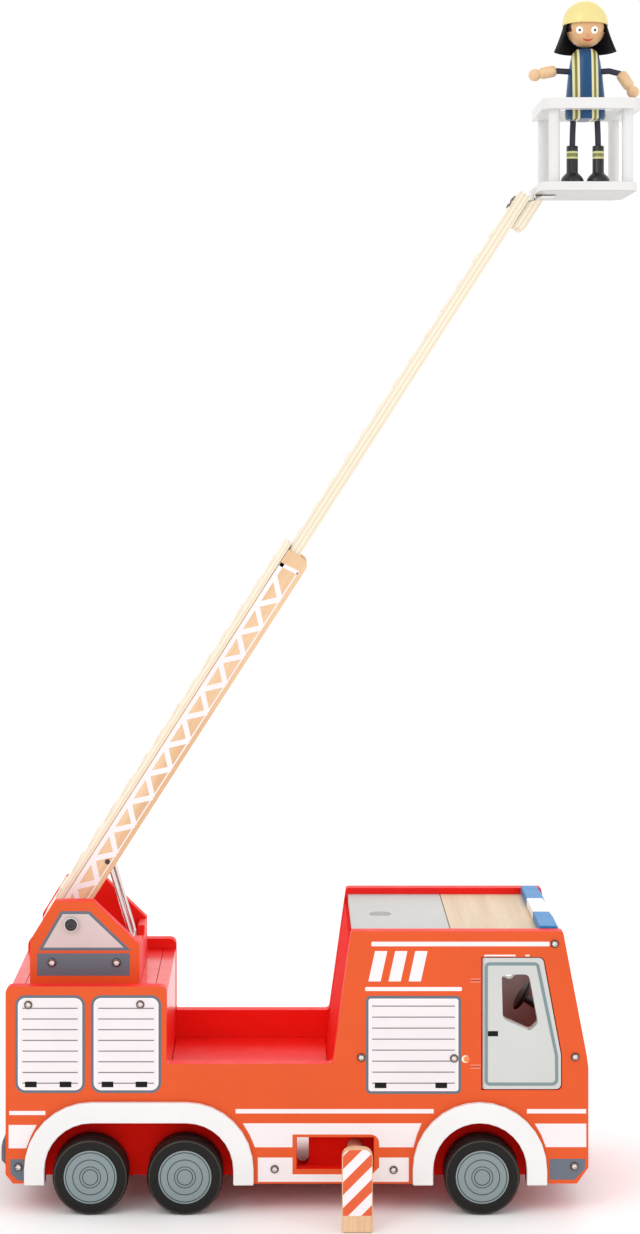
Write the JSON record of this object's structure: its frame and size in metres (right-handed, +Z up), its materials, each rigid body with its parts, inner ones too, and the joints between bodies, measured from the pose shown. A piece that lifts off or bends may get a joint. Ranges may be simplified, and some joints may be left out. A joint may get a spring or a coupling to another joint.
{
  "type": "toy fire engine",
  "caption": "Wooden toy fire engine with opening doors, sliding roof lid, pull-out outriggers and a turntable ladder carrying a hinged cage with a fire-fighter figure.",
  "frame": {"origin": "on the ground under the middle of the overall length and width, with the ladder raised forward and the outriggers out", "axes": "+X towards the front of the engine, +Y towards its left side, +Z up"},
  "size_m": [0.4466, 0.248, 0.8402],
  "materials": {
    "red_paint": "plywood board under satin orange-red paint, with printed white markings",
    "white_paint": "wood under satin white paint",
    "striped_paint": "beech printed with slanted orange and white warning stripes",
    "slate_paint": "wood under satin slate-grey paint",
    "grey_paint": "wood under satin light-grey paint",
    "beech": "clear-lacquered beech with fine grain",
    "plywood": "clear-lacquered birch plywood, its layers showing at the edges",
    "blue_paint": "wood under gloss blue paint",
    "steel": "bright zinc-plated steel",
    "black_wheel": "turned wood under black semi-gloss paint, with a grey printed hub",
    "black_plastic": "matt black",
    "uniform_cloth": "turned wood printed as a navy uniform with pale bands",
    "boots": "turned wood, black, with pale and olive bands",
    "face": "turned wood under satin brown paint, with a printed face",
    "helmet": "turned wood under satin pale-yellow paint",
    "cape_cloth": "black felt",
    "hands": "clear-lacquered beech on a dark covered wire"
  },
  "bodies": {
    "truck": {"side_panel_near": "red_paint", "side_panel_far": "red_paint", "chassis_frame": "red_paint", "rear_wall": "red_paint", "rear_deck": "red_paint", "rear_box_front_wall": "red_paint", "bed_floor": "red_paint", "cab_rear_wall": "red_paint", "cab_front_wall": "red_paint", "windscreen_frame": "red_paint", "cab_floor": "red_paint", "roof_board": "beech", "light_bar": "blue_paint", "fender_rear_near": "white_paint", "fender_rear_far": "white_paint", "fender_front_near": "white_paint", "fender_front_far": "white_paint", "rear_bumper": "slate_paint", "door_pin_near": "steel", "door_pin_far": "steel", "turntable_pin": "steel"},
    "roof_lid": {"roof_lid": "grey_paint"},
    "door_near": {"door_near": "grey_paint"},
    "door_far": {"door_far": "grey_paint"},
    "steering_wheel": {"steering_wheel": "black_plastic"},
    "wheelset_rear": {"axle_rear": "steel", "wheel_rear_near": "black_wheel", "wheel_rear_far": "black_wheel"},
    "wheelset_middle": {"axle_middle": "steel", "wheel_middle_near": "black_wheel", "wheel_middle_far": "black_wheel"},
    "wheelset_front": {"axle_front": "steel", "wheel_front_near": "black_wheel", "wheel_front_far": "black_wheel"},
    "outrigger_arm_near": {"outrigger_arm_near": "beech"},
    "outrigger_arm_far": {"outrigger_arm_far": "beech"},
    "outrigger_leg_near": {"outrigger_leg_near": "striped_paint"},
    "outrigger_leg_far": {"outrigger_leg_far": "striped_paint"},
    "turntable": {"turntable_plate": "red_paint", "turntable_cheek_near": "red_paint", "turntable_cheek_far": "red_paint", "turntable_front_wall": "red_paint", "ladder_pivot_bolt": "steel"},
    "ladder": {"ladder_rail_near": "beech", "ladder_rail_far": "beech", "ladder_rung_board": "plywood"},
    "stay": {"stay_wire": "steel"},
    "upper_ladder": {"upper_ladder": "plywood", "upper_ladder_block": "plywood", "cage_hinge_fixed_leaf": "steel"},
    "cage": {"cage_floor": "white_paint", "cage_frame": "white_paint", "cage_hinge_moving_leaf": "steel"},
    "figure": {"figure_body": "uniform_cloth", "figure_head": "face", "figure_helmet": "helmet", "figure_neck_guard": "cape_cloth", "figure_arms": "hands", "figure_leg_rear": "boots", "figure_leg_front": "boots"}
  },
  "joints": [
    {"name": "rear_wheels_roll", "type": "hinge", "parent": "truck", "child": "wheelset_rear", "pos_m": [-0.161, 0, 0.026], "axis": [0, 1, 0], "continuous": true},
    {"name": "middle_wheels_roll", "type": "hinge", "parent": "truck", "child": "wheelset_middle", "pos_m": [-0.0963, 0, 0.026], "axis": [0, 1, 0], "continuous": true},
    {"name": "front_wheels_roll", "type": "hinge", "parent": "truck", "child": "wheelset_front", "pos_m": [0.1069, 0, 0.026], "axis": [0, 1, 0], "continuous": true},
    {"name": "turntable_swivel", "type": "hinge", "parent": "truck", "child": "turntable", "pos_m": [-0.1677, 0, 0.1474], "axis": [0, 0, 1], "continuous": true},
    {"name": "ladder_pitch", "type": "hinge", "parent": "turntable", "child": "ladder", "pos_m": [-0.1771, 0, 0.1913], "axis": [0, -1, 0], "range_deg": [-55, 0]},
    {"name": "stay_fold", "type": "hinge", "parent": "ladder", "child": "stay", "pos_m": [-0.15383, 0, 0.22925], "axis": [0, -1, 0], "range_deg": [0, 130.5]},
    {"name": "upper_ladder_slide", "type": "slide", "parent": "ladder", "child": "upper_ladder", "axis": [0.5417, 0, 0.8406], "range_m": [-0.27, 0]},
    {"name": "cage_level", "type": "hinge", "parent": "upper_ladder", "child": "cage", "pos_m": [0.15131, 0, 0.70191], "axis": [0, -1, 0], "range_deg": [0, 55]},
    {"name": "figure_lift", "type": "slide", "parent": "cage", "child": "figure", "axis": [0, 0, 1], "range_m": [0, 0.12]},
    {"name": "door_near_hinge", "type": "hinge", "parent": "truck", "child": "door_near", "pos_m": [0.1103, -0.077, 0.1292], "axis": [0, 0, -1], "range_deg": [0, 95]},
    {"name": "door_far_hinge", "type": "hinge", "parent": "truck", "child": "door_far", "pos_m": [0.1103, 0.077, 0.1292], "axis": [0, 0, 1], "range_deg": [0, 95]},
    {"name": "roof_lid_slide", "type": "slide", "parent": "truck", "child": "roof_lid", "axis": [-1, 0, 0], "range_m": [0, 0.065]},
    {"name": "outrigger_slide_near", "type": "slide", "parent": "truck", "child": "outrigger_arm_near", "axis": [0, 1, 0], "range_m": [0, 0.0345]},
    {"name": "outrigger_slide_far", "type": "slide", "parent": "truck", "child": "outrigger_arm_far", "axis": [0, -1, 0], "range_m": [0, 0.0345]},
    {"name": "outrigger_leg_turn_near", "type": "hinge", "parent": "outrigger_arm_near", "child": "outrigger_leg_near", "pos_m": [0.0206, -0.118, 0.0391], "axis": [0, 1, 0], "range_deg": [0, 90]},
    {"name": "outrigger_leg_turn_far", "type": "hinge", "parent": "outrigger_arm_far", "child": "outrigger_leg_far", "pos_m": [0.0206, 0.118, 0.0391], "axis": [0, 1, 0], "range_deg": [0, 90]},
    {"name": "steering", "type": "hinge", "parent": "truck", "child": "steering_wheel", "pos_m": [0.1439, 0.02, 0.1243], "axis": [0.8502, 0, -0.5265], "continuous": true}
  ],
  "couplings": [
    {"joint": "stay_fold", "follows": "ladder_pitch", "ratio": -2.3727}
  ]
}
